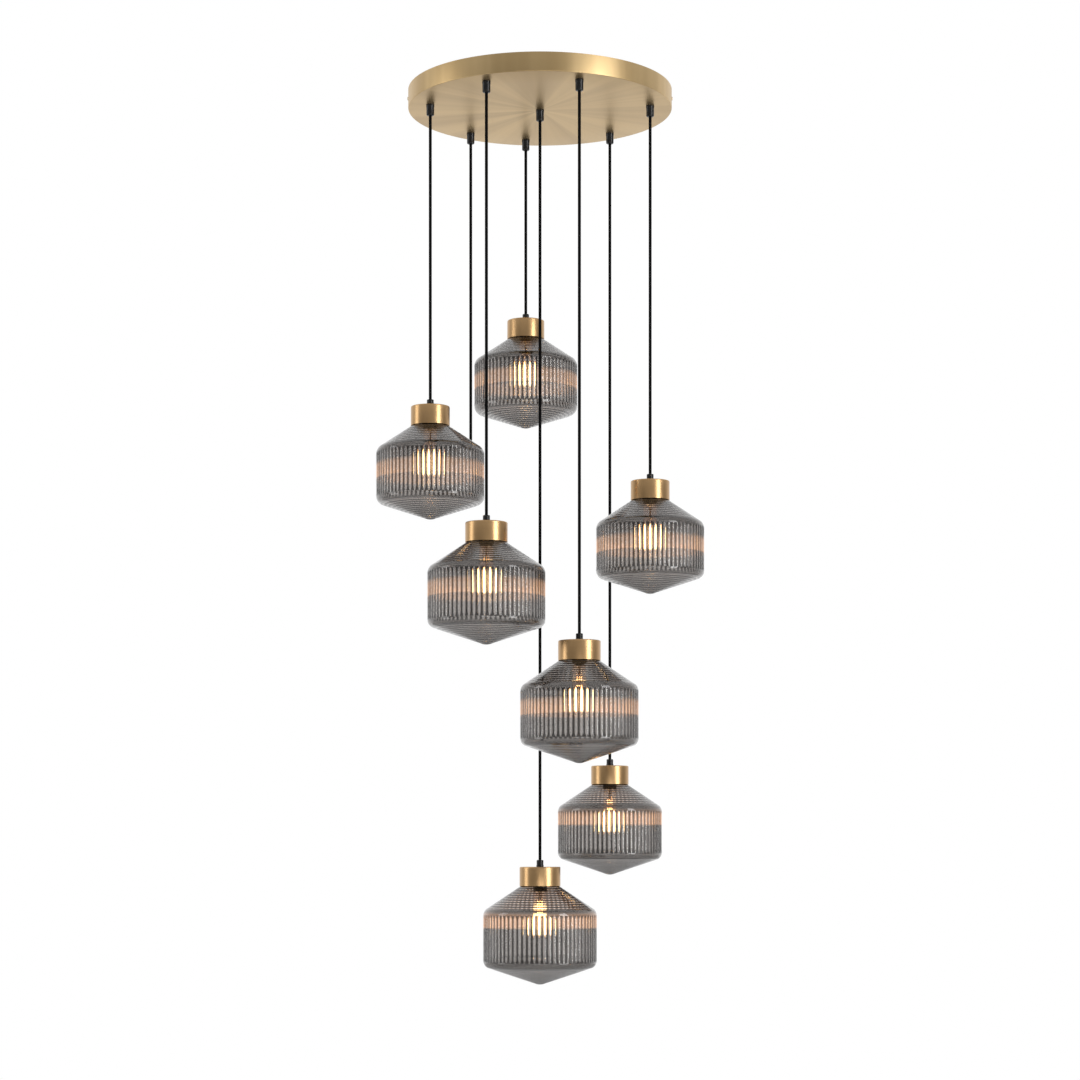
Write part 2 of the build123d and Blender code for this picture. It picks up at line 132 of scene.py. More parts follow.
class Finish:
    """The node material of one surface, or of the world."""

    def __init__(self, name, owner=None):
        self.owner = owner or bpy.data.materials.new(name)
        self.owner.use_nodes = True
        self.tree = self.owner.node_tree
        self.tree.nodes.clear()

    def add(self, kind, sockets=None, **settings):
        """Any node: its settings first, then the values or links of its sockets."""
        node = self.tree.nodes.new("ShaderNode" + kind)
        for setting, value in settings.items():
            setattr(node, setting, value)
        for socket, value in (sockets or {}).items():
            if isinstance(value, Value):
                value = value.output
            if isinstance(value, bpy.types.NodeSocket):
                self.tree.links.new(value, node.inputs[socket])
            else:
                node.inputs[socket].default_value = value
        return node

    def own_place(self):
        """Where a point is on its own piece: X, Y and Z about the piece's axis."""
        vector = self.add("Attribute", attribute_name="own_place").outputs["Vector"]
        parts = self.add("SeparateXYZ", {"Vector": vector}).outputs
        return vector, *(Value(self, part) for part in parts)

    def object_place(self):
        vector = self.add("TexCoord").outputs["Object"]
        parts = self.add("SeparateXYZ", {"Vector": vector}).outputs
        return vector, *(Value(self, part) for part in parts)

    def attribute(self, name):
        return Value(self, self.add("Attribute", attribute_name=name).outputs["Fac"])

    def noise(self, vector, scale, detail=2.0, roughness=0.5):
        sockets = {"Vector": vector, "Scale": scale, "Detail": detail, "Roughness": roughness}
        return Value(self, self.add("TexNoise", sockets).outputs["Fac"])

    def point(self, x, y, z):
        return self.add("CombineXYZ", {"X": x, "Y": y, "Z": z}).outputs["Vector"]

    def between(self, factor, first, second):
        """A colour part of the way from one colour to another."""
        return self.add("Mix", {0: factor, 6: first, 7: second}, data_type="RGBA").outputs[2]

    def relief(self, height, distance):
        sockets = {"Height": height, "Distance": distance, "Strength": 1.0}
        return self.add("Bump", sockets).outputs["Normal"]

    def surface(self, sockets):
        shader = self.add("BsdfPrincipled", sockets)
        self.add("OutputMaterial", {"Surface": shader.outputs["BSDF"]})
        return self.owner


BRAID_STRANDS = 12
BRAID_PITCH = 0.0085
BLACK_THREAD = (0.002, 0.002, 0.002, 1)
WORN_THREAD = (0.006, 0.006, 0.006, 1)


def braided_fabric():
    finish = Finish("braided_fabric")
    place, x, y, along = finish.own_place()
    turn = y.maths("ARCTAN2", x)
    climb = along * (2 * pi * BRAID_STRANDS / 2 / BRAID_PITCH / 3)
    leaning_right = (turn * (BRAID_STRANDS / 2) + climb).sine()
    leaning_left = (turn * (BRAID_STRANDS / 2) - climb).sine()
    weave = (leaning_right * leaning_left).size() ** 0.5
    lint = finish.noise(place, 900, detail=3)
    colour = finish.between(weave * 0.6 + lint * 0.4, BLACK_THREAD, WORN_THREAD)
    return finish.surface(
        {
            "Base Color": colour,
            "Roughness": 0.7 + lint * 0.2,
            "Normal": finish.relief(weave + lint * 0.3, 0.00001),
            "Specular IOR Level": 0.03,
        }
    )


def smooth_route(points):
    """The line of one open NURBS spline along a cord's route, read back as points."""
    curve = bpy.data.curves.new("route", "CURVE")
    curve.dimensions = "3D"
    spline = curve.splines.new("NURBS")
    spline.points.add(len(points) - 1)
    for control, point in zip(spline.points, points):
        control.co = (*point, 1)
    spline.order_u = 3
    spline.use_endpoint_u = True
    holder = bpy.data.objects.new("route", curve)
    mesh = bpy.data.meshes.new_from_object(holder)
    line = [vertex.co.copy() for vertex in mesh.vertices]
    bpy.data.objects.remove(holder)
    bpy.data.curves.remove(curve)
    bpy.data.meshes.remove(mesh)
    return line


def is_within(edge, ring):
    return all(vertex in ring for vertex in edge.verts)


def tube(line, radius, sides=20):
    """A round tube along a line: a ring is extruded from each of the line's points to the next."""
    made = bmesh.new()
    own_place = made.verts.layers.float_vector.new("own_place")
    directions = [(there - here).normalized() for here, there in zip(line, line[1:])]
    directions.append(directions[-1])
    bmesh.ops.create_circle(made, cap_ends=True, segments=sides, radius=radius)
    ring = list(made.verts)
    for vertex in ring:
        vertex[own_place] = vertex.co
    upright = Vector((0, 0, 1)).rotation_difference(directions[0]).to_matrix()
    bmesh.ops.rotate(made, cent=(0, 0, 0), matrix=upright, verts=ring)
    bmesh.ops.translate(made, vec=line[0], verts=ring)
    edges = list(made.edges)
    along = 0
    for step, (here, there) in enumerate(zip(line, line[1:])):
        along += (there - here).length
        grown = bmesh.ops.extrude_edge_only(made, edges=edges)["geom"]
        ring = [part for part in grown if isinstance(part, bmesh.types.BMVert)]
        edges = [part for part in grown if isinstance(part, bmesh.types.BMEdge) and is_within(part, ring)]
        bmesh.ops.translate(made, vec=there - here, verts=ring)
        bend = directions[step].rotation_difference(directions[step + 1]).to_matrix()
        bmesh.ops.rotate(made, cent=there, matrix=bend, verts=ring)
        for vertex in ring:
            start = vertex[own_place]
            vertex[own_place] = Vector((start.x, start.y, along))
    bmesh.ops.contextual_create(made, geom=edges)
    return made


def finish_piece(name, shape, material, sharp_above=35):
    """Turns a shape into an object at the origin, smooth except along its sharp edges."""
    bmesh.ops.recalc_face_normals(shape, faces=shape.faces)
    mesh = bpy.data.meshes.new(name)
    shape.to_mesh(mesh)
    shape.free()
    mesh.materials.append(material)
    mesh.shade_smooth()
    mesh.set_sharp_from_angle(angle=radians(sharp_above))
    piece = bpy.data.objects.new(name, mesh)
    bpy.context.scene.collection.objects.link(piece)
    return piece


def middle_of(node):
    low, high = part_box(node)
    return (low + high) / 2


LAMPS = range(1, 8)
CORD_DIAMETER = 0.0056
STRAIGHT_END = 6 * CORD_DIAMETER
CANOPY_GRIP_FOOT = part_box("canopy_cord_grips")[0].z

fabric = braided_fabric()


def hanging_line(node):
    """The route of a taut cord from its grip down, with a point near each end."""
    low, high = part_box(node)
    centre = middle_of(node)
    heights = (high.z, high.z - STRAIGHT_END, low.z + STRAIGHT_END, low.z)
    return [Vector((centre.x, centre.y, height)) for height in heights]


def hang_cord(name, node):
    route = hanging_line(node)
    line = smooth_route(route)
    cord = finish_piece(name, tube(line, CORD_DIAMETER / 2), fabric)
    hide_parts(node)
    grip_mouth = (route[0].x, route[0].y, CANOPY_GRIP_FOOT)
    return cord, line, grip_mouth, route[0].z - route[-1].z


for lamp in LAMPS:
    cord, line, grip_mouth, length = hang_cord(f"braided_cord_{lamp}", f"cord_{lamp}")
    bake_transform(cord)

spare, line, grip_mouth, length = hang_cord("braided_spare_cord", "spare_cord")
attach(spare, "spare_drop")

# ---------------------------------------------------------------- grips
# Cord grips moulded in glossy black plastic: one under the canopy at each outlet, a smaller one on
# each lamp's cap, and the plain insulating cap that closes the spare cord.


def black_moulding():
    finish = Finish("black_moulding")
    place, *_ = finish.object_place()
    cloud = finish.noise(place, 160, detail=3)
    grain = finish.noise(place, 2600, detail=1)
    return finish.surface(
        {
            "Base Color": finish.between(cloud, (0.006, 0.006, 0.006, 1), (0.014, 0.014, 0.015, 1)),
            "Roughness": 0.16 + cloud * 0.1,
            "Normal": finish.relief(grain, 0.00002),
            "Specular IOR Level": 0.3,
        }
    )


def turned(outline, roundings=(), closed=True, steps=96, segments=6):
    """A shape turned about the Z axis from an outline of (radius, height) corners.
    Roundings are (corner, radius) pairs; the outline's ends stay open where they lie on the axis."""
    made = bmesh.new()
    corners = [made.verts.new((radius, 0, height)) for radius, height in outline]
    for here, there in zip(corners, corners[1:]):
        made.edges.new((here, there))
    if closed:
        made.edges.new((corners[-1], corners[0]))
    for corner, radius in roundings:
        vertex = corners[corner]
        arms = [edge.other_vert(vertex).co - vertex.co for edge in vertex.link_edges]
        setback = radius / tan(arms[0].angle(arms[1]) / 2)
        bmesh.ops.bevel(
            made,
            geom=[vertex],
            offset=setback,
            offset_type="OFFSET",
            segments=segments,
            profile=0.5,
            affect="VERTICES",
            material=-1,
        )
    spin_outline(made, steps)
    return made


def spin_outline(made, steps):
    bmesh.ops.spin(
        made,
        geom=made.verts[:] + made.edges[:],
        cent=(0, 0, 0),
        axis=(0, 0, 1),
        angle=2 * pi,
        steps=steps,
        use_merge=True,
    )
    bmesh.ops.remove_doubles(made, verts=made.verts, dist=1e-6)


def placed(shape, place, turn=0.0):
    """A copy of a shape at a place, which keeps where each point is on the piece itself."""
    copy = shape.copy()
    own_place = copy.verts.layers.float_vector.get("own_place")
    if own_place is None:
        own_place = copy.verts.layers.float_vector.new("own_place")
    for vertex in copy.verts:
        vertex[own_place] = vertex.co
    bmesh.ops.rotate(copy, cent=(0, 0, 0), matrix=Matrix.Rotation(turn, 3, "Z"), verts=copy.verts)
    bmesh.ops.translate(copy, vec=place, verts=copy.verts)
    return copy


def joined(shapes):
    """Several shapes as one."""
    whole = bmesh.new()
    for shape in shapes:
        part = bpy.data.meshes.new("part")
        shape.to_mesh(part)
        whole.from_mesh(part)
        bpy.data.meshes.remove(part)
        shape.free()
    return whole


def fit(name, shape, material, body, slot, *nodes, sharp_above=35):
    """Finishes a piece that rides on one body and stands for its CAD nodes."""
    piece = finish_piece(name, shape, material, sharp_above)
    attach(piece, body)
    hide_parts(*nodes)
    return piece


moulding = black_moulding()
grips_low, grips_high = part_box("canopy_cord_grips")
CANOPY_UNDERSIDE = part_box("canopy")[0].z
CANOPY_GRIP_RADIUS = 0.00775
STEM_RADIUS = 0.0049
CORD_BORE_RADIUS = 0.0031
CANOPY_CORD_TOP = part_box("cord_1")[1].z

canopy_grip = turned(
    [
        (CORD_BORE_RADIUS, grips_high.z),
        (STEM_RADIUS, grips_high.z),
        (STEM_RADIUS, CANOPY_UNDERSIDE + 0.0002),
        (CANOPY_GRIP_RADIUS, CANOPY_UNDERSIDE + 0.0002),
        (CANOPY_GRIP_RADIUS, CANOPY_UNDERSIDE - 0.0045),
        (CANOPY_GRIP_RADIUS - 0.0004, CANOPY_UNDERSIDE - 0.0051),
        (CANOPY_GRIP_RADIUS - 0.0004, grips_low.z),
        (CORD_BORE_RADIUS, grips_low.z),
    ],
    roundings=[(6, 0.0025), (7, 0.0006)],
    steps=48,
)
outlets = [middle_of(f"cord_{lamp}") for lamp in LAMPS] + [middle_of("spare_cord")]
grip_shapes = [placed(canopy_grip, (outlet.x, outlet.y, 0)) for outlet in outlets]
fit("canopy_grips", joined(grip_shapes), moulding, "canopy", "black_moulding", "canopy_cord_grips")
canopy_grip.free()

CAP_GRIP_RADIUS = 0.007
CAP_GRIP_HEIGHT = 0.013
CAP_GRIP_FOOT_HEIGHT = 0.003
CORD_INSERT = 0.0043

cap_grip = turned(
    [
        (0, -0.0085),
        (STEM_RADIUS, -0.0085),
        (STEM_RADIUS, 0),
        (CAP_GRIP_RADIUS, 0),
        (CAP_GRIP_RADIUS, CAP_GRIP_FOOT_HEIGHT),
        (CAP_GRIP_RADIUS - 0.0005, CAP_GRIP_FOOT_HEIGHT + 0.0007),
        (CAP_GRIP_RADIUS - 0.0005, CAP_GRIP_HEIGHT),
        (CORD_BORE_RADIUS, CAP_GRIP_HEIGHT),
        (CORD_BORE_RADIUS, CAP_GRIP_HEIGHT - CORD_INSERT),
        (0, CAP_GRIP_HEIGHT - CORD_INSERT),
    ],
    roundings=[(6, 0.0014), (7, 0.0005)],
    closed=False,
    steps=48,
)


def lamp_place(lamp):
    """The top of a lamp's cap, on its axis."""
    centre = middle_of(f"cap_{lamp}")
    return Vector((centre.x, centre.y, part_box(f"cap_{lamp}")[1].z))


def hang(name, shape, material, slot, node, lamps=LAMPS, sharp_above=35, turn=0.0):
    """Hangs one lamp piece on each of the lamps, each turned a little further than the last."""
    for lamp in lamps:
        copy = placed(shape, lamp_place(lamp), turn * lamp)
        body = f"lamp_{lamp}"
        fit(f"{name}_{lamp}", copy, material, body, slot, f"{node}_{lamp}", sharp_above=sharp_above)
    shape.free()


def dress(node, material):
    """Gives a CAD piece that keeps its own mesh its finish."""
    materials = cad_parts[node].data.materials
    materials.clear()
    materials.append(material)


hang("cap_grip", cap_grip, moulding, "black_moulding", "cord_grip")
dress("spare_cord_cap", moulding)

# ---------------------------------------------------------------- caps
# Brass cups spun from 1.5 mm sheet, with a small rounded edge, turned to a satin finish and lacquered.
# Each covers the screwed neck of its shade.

BRASS = (0.64, 0.42, 0.21, 1)
DARK_BRASS = (0.46, 0.28, 0.13, 1)
CAP_WALL = 0.0015
CAP_EDGE_RADIUS = 0.0022


def turned_brass(name, light, dark, roughness):
    """Satin brass with fine turning lines round its axis."""
    finish = Finish(name)
    place, x, y, z = finish.own_place()
    radius = (x * x + y * y).maths("SQRT")
    lines = finish.noise(finish.point(radius * 0.6, 0, z), 2600, detail=2)
    patches = finish.noise(place, 22, detail=4)
    colour = finish.between(lines * 0.35 + patches * 0.5, dark, light)
    return finish.surface(
        {
            "Base Color": colour,
            "Metallic": 1.0,
            "Roughness": roughness + lines * 0.08 + patches * 0.06,
            "Normal": finish.relief(lines, 0.00003),
        }
    )


STEM_HOLE_RADIUS = 0.0051
SMALL_LAMPS = (1, 2, 3, 6)
LARGE_LAMPS = (4, 5, 7)
cap_low, cap_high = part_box("cap_1")
CAP_HEIGHT = cap_high.z - cap_low.z


def radius_of(node):
    low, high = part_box(node)
    return (high.x - low.x) / 2


def spun_cap(radius):
    return turned(
        [
            (STEM_HOLE_RADIUS, 0),
            (radius, 0),
            (radius, -CAP_HEIGHT),
            (radius - CAP_WALL, -CAP_HEIGHT),
            (radius - CAP_WALL, -CAP_WALL),
            (STEM_HOLE_RADIUS, -CAP_WALL),
        ],
        roundings=[(1, CAP_EDGE_RADIUS), (2, 0.0004), (3, 0.0003)],
        steps=160,
    )


cap_brass = turned_brass("cap_brass", BRASS, DARK_BRASS, 0.24)
for lamps in (SMALL_LAMPS, LARGE_LAMPS):
    cap = spun_cap(radius_of(f"cap_{lamps[0]}"))
    hang("brass_cap", cap, cap_brass, "cap_brass", "cap", lamps)

# ---------------------------------------------------------------- shades
# One blown shell of smoked glass each, 3 mm thick. The wall is pressed into half-round flutes, the two
# cones into rings, and a short neck screws into the brass cap. Three lamps have a larger shade.

SHADE_GLASS = 0.003
WALL_TO_DIAMETER = 0.488
TOP_SLOPE = radians(33.7)
BOTTOM_SLOPE = radians(18.5)
SHOULDER_RADIUS = 0.014
FOOT_RADIUS = 0.013
TIP_RADIUS = 0.025
NECK_PLAY = 0.0004
NECK_TOP = -0.0145
FLUTES = 72
FLUTE_DEPTH = 0.0015
FLUTE_SCOOP = 0.007
STEPS_PER_FLUTE = 6
TOP_RING_PITCH = 0.0077
BOTTOM_RING_PITCH = 0.0081
RING_DEPTH = 0.00015
POINTS_PER_RING = 6

# Painted light on the glass: 0 is a clear line of painted highlight on a ridge, 1 the near-black painted
# shade in a groove. The cones' ribs are very shallow here, so their rings are drawn mainly by painted shade.
INNER_TONE = 0.3
TOP_RIDGE_TONE = 0.36
BOTTOM_RIDGE_TONE = 0.22
BEND_PAINTED_SHADE = 0.58


def shade_corners(radius, cap_radius, inset):
    """The outline's corners from the tip up to the neck's top, moved inwards by inset."""
    neck = cap_radius - CAP_WALL - NECK_PLAY
    shoulder_z = -CAP_HEIGHT - (radius - neck) * tan(TOP_SLOPE)
    foot_z = shoulder_z - 2 * radius * WALL_TO_DIAMETER
    top_drop = inset / cos(TOP_SLOPE) - inset * tan(TOP_SLOPE)
    bottom_rise = inset / cos(BOTTOM_SLOPE) - inset * tan(BOTTOM_SLOPE)
    tip_z = foot_z - radius * tan(BOTTOM_SLOPE) + inset / cos(BOTTOM_SLOPE)
    return {
        "tip": Vector((0, 0, tip_z)),
        "foot": Vector((radius - inset, 0, foot_z + bottom_rise)),
        "shoulder": Vector((radius - inset, 0, shoulder_z - top_drop)),
        "neck_foot": Vector((neck - inset, 0, -CAP_HEIGHT - top_drop)),
        "neck_top": Vector((neck - inset, 0, NECK_TOP)),
    }


def add_side(made, corners, inset):
    """One surface of the shell, as a chain of edges: blunt tip, foot, shoulder, neck."""
    tip_radius = TIP_RADIUS - inset
    tip_steps = 5
    centre = corners["tip"].z + tip_radius / cos(BOTTOM_SLOPE)
    chain = [made.verts.new((0, 0, centre - tip_radius))]
    for step in range(1, tip_steps + 1):
        chain.append(made.verts.new(chain[-1].co))
        turn = Matrix.Rotation(-BOTTOM_SLOPE / tip_steps, 3, "Y")
        bmesh.ops.rotate(made, cent=(0, 0, centre), matrix=turn, verts=chain[-1:])
    named = {}
    for name in ("foot", "shoulder", "neck_foot", "neck_top"):
        named[name] = made.verts.new(corners[name])
        chain.append(named[name])
    for pair in zip(chain, chain[1:]):
        made.edges.new(pair)
    for name, radius in (("foot", FOOT_RADIUS - inset), ("shoulder", SHOULDER_RADIUS - inset)):
        vertex = named[name]
        arms = [edge.other_vert(vertex).co - vertex.co for edge in vertex.link_edges]
        bmesh.ops.bevel(
            made,
            geom=[vertex],
            offset=radius / tan(arms[0].angle(arms[1]) / 2),
            offset_type="OFFSET",
            segments=8,
            profile=0.5,
            affect="VERTICES",
            material=-1,
        )


def below_ridge(phase, pitch, depth):
    """How far a half-round rib lies below its ridge. Phases 0 and 1 are its grooves."""
    reach = pitch / 2
    radius = (reach * reach + depth * depth) / (2 * depth)
    across = (phase - 0.5) * pitch
    return radius - sqrt(radius * radius - across * across)


def longest_edge(made, low, high):
    """The longest edge of the outline between two heights."""
    inside = [edge for edge in made.edges if all(low < vertex.co.z < high for vertex in edge.verts)]
    return max(inside, key=lambda edge: edge.calc_length())


def divided(made, edge, cuts, order):
    """Cuts an edge of the outline, and gives the new vertices in order."""
    inner = bmesh.ops.subdivide_edges(made, edges=[edge], cuts=cuts)["geom_inner"]
    return sorted((part for part in inner if isinstance(part, bmesh.types.BMVert)), key=order)


def press_rings(made, painted_light_tone, edge, pitch, ridge_tone):
    """Presses a cone's straight edge into half-round ribs, as many as it has room for."""
    start, end = sorted((vertex.co.copy() for vertex in edge.verts), key=lambda co: co.x)
    slope = (end - start).normalized()
    inward = Vector((0, 0, -1 if slope.z < 0 else 1))
    inward = (inward - slope * inward.dot(slope)).normalized()
    rings = int((end - start).length / pitch)
    land = ((end - start).length - rings * pitch) / 2
    for number, vertex in enumerate(divided(made, edge, rings * POINTS_PER_RING + 1, lambda v: v.co.x)):
        phase = number / POINTS_PER_RING % 1
        along = start + slope * (land + number * pitch / POINTS_PER_RING)
        vertex.co = along + inward * below_ridge(phase, pitch, RING_DEPTH)
        # Painted shade in the ring's groove, none on its ridge.
        vertex[painted_light_tone] = ridge_tone + (1 - ridge_tone) * abs(2 * phase - 1)


def blown_shade(radius, cap_radius):
    made = bmesh.new()
    painted_light_tone = made.verts.layers.float.new("painted_light_tone")
    outer = shade_corners(radius, cap_radius, 0)
    add_side(made, outer, 0)
    # Painted shade on every bend of the outer side; the rings and flutes below set their own.
    for vertex in made.verts:
        vertex[painted_light_tone] = BEND_PAINTED_SHADE
    bottom_cone = longest_edge(made, outer["tip"].z - 0.001, outer["foot"].z)
    press_rings(made, painted_light_tone, bottom_cone, BOTTOM_RING_PITCH, BOTTOM_RIDGE_TONE)
    top_cone = longest_edge(made, outer["shoulder"].z, outer["neck_foot"].z + 0.001)
    press_rings(made, painted_light_tone, top_cone, TOP_RING_PITCH, TOP_RIDGE_TONE)
    wall = longest_edge(made, outer["foot"].z, outer["shoulder"].z)
    low, high = sorted(vertex.co.z for vertex in wall.verts)
    rows = divided(made, wall, 16, lambda v: v.co.z)
    for step in range(8):
        rise = 0.0003 + FLUTE_SCOOP * (1 - cos(pi / 2 * step / 7))
        rows[step].co.z = low + rise
        rows[-1 - step].co.z = high - rise
    add_side(made, shade_corners(radius, cap_radius, SHADE_GLASS), SHADE_GLASS)
    for vertex in made.verts:
        vertex[painted_light_tone] = vertex[painted_light_tone] or INNER_TONE
    made.edges.new([vertex for vertex in made.verts if vertex.co.z > NECK_TOP - 1e-6])
    spin_outline(made, FLUTES * STEPS_PER_FLUTE)
    press_flutes(made, painted_light_tone, radius, low, high)
    return made


def press_flutes(made, painted_light_tone, wall_radius, low, high):
    """Presses the wall's outer surface into half-round ribs that run out in a scoop at both ends."""
    pitch = 2 * pi * wall_radius / FLUTES
    for vertex in made.verts:
        x, y, z = vertex.co
        radius = sqrt(x * x + y * y)
        if low < z < high and radius > wall_radius - SHADE_GLASS / 2:
            reach = min(1.0, min(z - low, high - z) / FLUTE_SCOOP)
            scoop = sqrt(1 - (1 - reach) ** 2)
            phase = atan2(y, x) * FLUTES / (2 * pi) % 1
            drawn = 1 - below_ridge(phase, pitch, FLUTE_DEPTH) * scoop / radius
            vertex.co.x *= drawn
            vertex.co.y *= drawn
            # Painted shade in the groove and a painted highlight on the ridge; the shade widens into the
            # scoops.
            vertex[painted_light_tone] = abs(2 * phase - 1) ** (0.25 + 0.75 * reach)


# The ridge's clear line is a painted highlight and the groove's near black is painted shade; the two smokes
# are the glass's own tint.
RIDGE_PAINTED_HIGHLIGHT = (0.95, 0.95, 0.94, 1)
LIGHT_SMOKE = (0.76, 0.735, 0.715, 1)
THICK_SMOKE = (0.63, 0.60, 0.58, 1)
GROOVE_PAINTED_SHADE = (0.020, 0.018, 0.017, 1)
PAINTED_LAMPLIGHT = (0.15, 0.075, 0.035, 1)
NO_LIGHT = (0, 0, 0, 1)

# The flutes gather the lamp's light in a band round the wall. It is painted on the glass as faint emitted
# light at the height that it has from the front at rest, lower on the lamps above eye level.
BAND_HEIGHT = 0.024
BAND_MIDDLE = -0.104
LOWERED_BAND = -0.021
EYE_LEVELS = (-1.22, -1.06)
WALL_RADII = (0.0972, 0.0976)

# The bottom cone is slightly hazy, so that the flutes behind it don't draw through its rings.
CONE_RADII = (0.088, 0.094)
CONE_HEIGHTS = (-0.165, -0.155)
CONE_HAZE = 0.16


def smoked_glass():
    """Grey smoked glass, with a painted highlight along the ridges and painted shade in the grooves and on
    the bends.
    """
    finish = Finish("smoked_glass")
    place, x, y, z = finish.own_place()
    height = finish.object_place()[3]
    painted_light_tone = finish.attribute("painted_light_tone")
    cloud = finish.noise(place, 9, detail=2)
    smoke = finish.between(cloud, THICK_SMOKE, LIGHT_SMOKE)
    painted_ridge_highlight = finish.between(painted_light_tone.rise(0.04, 0.22), RIDGE_PAINTED_HIGHLIGHT, smoke)
    middle = (height - z).rise(*EYE_LEVELS) * LOWERED_BAND + BAND_MIDDLE
    below = z - middle + BAND_HEIGHT / 2
    band = below.rise(-0.001, 0.002) * (1 - below.rise(BAND_HEIGHT - 0.003, BAND_HEIGHT + 0.009))
    radius = (x * x + y * y).maths("SQRT")
    wall = radius.rise(*WALL_RADII)
    bottom_cone = (1 - radius.rise(*CONE_RADII)) * (1 - z.rise(*CONE_HEIGHTS))
    # Painted band of lamplight round the wall, fainter over the grooves.
    painted_band_light = band * wall * (1 - painted_light_tone.rise(0.5, 0.9) * 0.7)
    return finish.surface(
        {
            "Base Color": finish.between(painted_light_tone.rise(0.40, 0.68), painted_ridge_highlight, GROOVE_PAINTED_SHADE),
            "Roughness": 0.01 + cloud * 0.02 + bottom_cone * CONE_HAZE,
            "IOR": 1.5,
            "Specular IOR Level": 0.15,
            "Transmission Weight": 1.0,
            "Emission Color": finish.between(painted_band_light, NO_LIGHT, PAINTED_LAMPLIGHT),
            "Emission Strength": 1.0,
        }
    )


smoke = smoked_glass()
for lamps in (SMALL_LAMPS, LARGE_LAMPS):
    shade = blown_shade(radius_of(f"shade_{lamps[0]}"), radius_of(f"cap_{lamps[0]}"))
    hang("glass_shade", shade, smoke, "smoked_glass", "shade", lamps, sharp_above=75, turn=radians(1.7))

# ---------------------------------------------------------------- lampholders
# A lampholder moulded in black phenolic hangs on the stem of each cap's grip, inside the shade.

holder_low, holder_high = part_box("lampholder_1")
HOLDER_RADIUS = (holder_high.x - holder_low.x) / 2
HOLDER_TOP = -CAP_WALL
HOLDER_BOTTOM = HOLDER_TOP - (holder_high.z - holder_low.z)
LAMP_BASE_RADIUS = 0.00695

lampholder = turned(
    [
        (0, HOLDER_TOP),
        (0.010, HOLDER_TOP),
        (0.010, HOLDER_TOP - 0.0045),
        (HOLDER_RADIUS, HOLDER_TOP - 0.009),
        (HOLDER_RADIUS, HOLDER_TOP - 0.030),
        (HOLDER_RADIUS - 0.001, HOLDER_TOP - 0.031),
        (HOLDER_RADIUS - 0.001, HOLDER_TOP - 0.033),
        (HOLDER_RADIUS, HOLDER_TOP - 0.034),
        (HOLDER_RADIUS, HOLDER_BOTTOM),
        (HOLDER_RADIUS - 0.003, HOLDER_BOTTOM),
        (HOLDER_RADIUS - 0.003, HOLDER_BOTTOM + 0.010),
        (LAMP_BASE_RADIUS + 0.0003, HOLDER_BOTTOM + 0.010),
        (LAMP_BASE_RADIUS + 0.0003, HOLDER_BOTTOM + 0.026),
        (0, HOLDER_BOTTOM + 0.026),
    ],
    roundings=[(1, 0.0008), (3, 0.0012), (8, 0.0012), (9, 0.0006)],
    closed=False,
    steps=64,
)


def phenolic():
    finish = Finish("matt_phenolic")
    place, *_ = finish.own_place()
    cloud = finish.noise(place, 140, detail=3)
    return finish.surface(
        {
            "Base Color": finish.between(cloud, (0.005, 0.005, 0.005, 1), (0.012, 0.011, 0.011, 1)),
            "Roughness": 0.5 + cloud * 0.2,
            "Specular IOR Level": 0.15,
        }
    )


hang("phenolic_holder", lampholder, phenolic(), "black_moulding", "lampholder")

# ---------------------------------------------------------------- lamps
# Clear tubular filament lamps, switched on: a screw base with a collar, a glass press that carries a
# ring of four upright filaments between two discs, and a thin blown envelope round them.

lamp_low, lamp_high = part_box("lamp_glass_1")
LAMP_RADIUS = (lamp_high.x - lamp_low.x) / 2
LAMP_LENGTH = lamp_high.z - lamp_low.z
LAMP_GLASS = 0.0009
COLLAR_RADIUS = 0.008
LAMP_NECK = 0.009
LAMP_BOTTOM = HOLDER_BOTTOM - LAMP_LENGTH
PRESS_LENGTH = 0.020
DISC = 0.0012
FILAMENT_LENGTH = 0.040
FILAMENT_CIRCLE_RADIUS = 0.004
FILAMENT_RADIUS = 0.001
FILAMENTS = 4
WARM = (1.0, 0.68, 0.32, 1)
AMBER = (0.03, 0.012, 0.004, 1)
LIT_TOP = -0.086
LIT_FOOT = -0.131
ENVELOPE_GLOW = 1.5
FILAMENT_GLOW = 10.0


def envelope_side(inset):
    return [
        (COLLAR_RADIUS - inset, HOLDER_BOTTOM),
        (LAMP_RADIUS - inset, HOLDER_BOTTOM - LAMP_NECK),
        (LAMP_RADIUS - inset, LAMP_BOTTOM + inset),
        (0, LAMP_BOTTOM + inset),
    ]


envelope = turned(
    [*envelope_side(0), *reversed(envelope_side(LAMP_GLASS))],
    roundings=[
        (1, LAMP_NECK),
        (2, LAMP_RADIUS * 0.8),
        (5, (LAMP_RADIUS - LAMP_GLASS) * 0.8),
        (6, LAMP_NECK - LAMP_GLASS),
    ],
    closed=True,
    steps=64,
    segments=8,
)


def lit_glass():
    """Clear glass that looks filled with light round the filaments."""
    finish = Finish("lit_lamp_glass")
    place, x, y, z = finish.own_place()
    lit = z.rise(LIT_FOOT, LIT_FOOT + 0.004) * (1 - z.rise(LIT_TOP - 0.004, LIT_TOP + 0.004))
    smears = finish.noise(place, 120, detail=2)
    return finish.surface(
        {
            "Base Color": finish.between(smears, (0.95, 0.95, 0.94, 1), (1, 1, 1, 1)),
            "Roughness": 0.01 + smears * 0.03,
            "IOR": 1.5,
            "Transmission Weight": 1.0,
            "Emission Color": finish.between(lit, AMBER, WARM),
            "Emission Strength": ENVELOPE_GLOW,
        }
    )


hang("lamp_envelope", envelope, lit_glass(), "clear_glass", "lamp_glass")

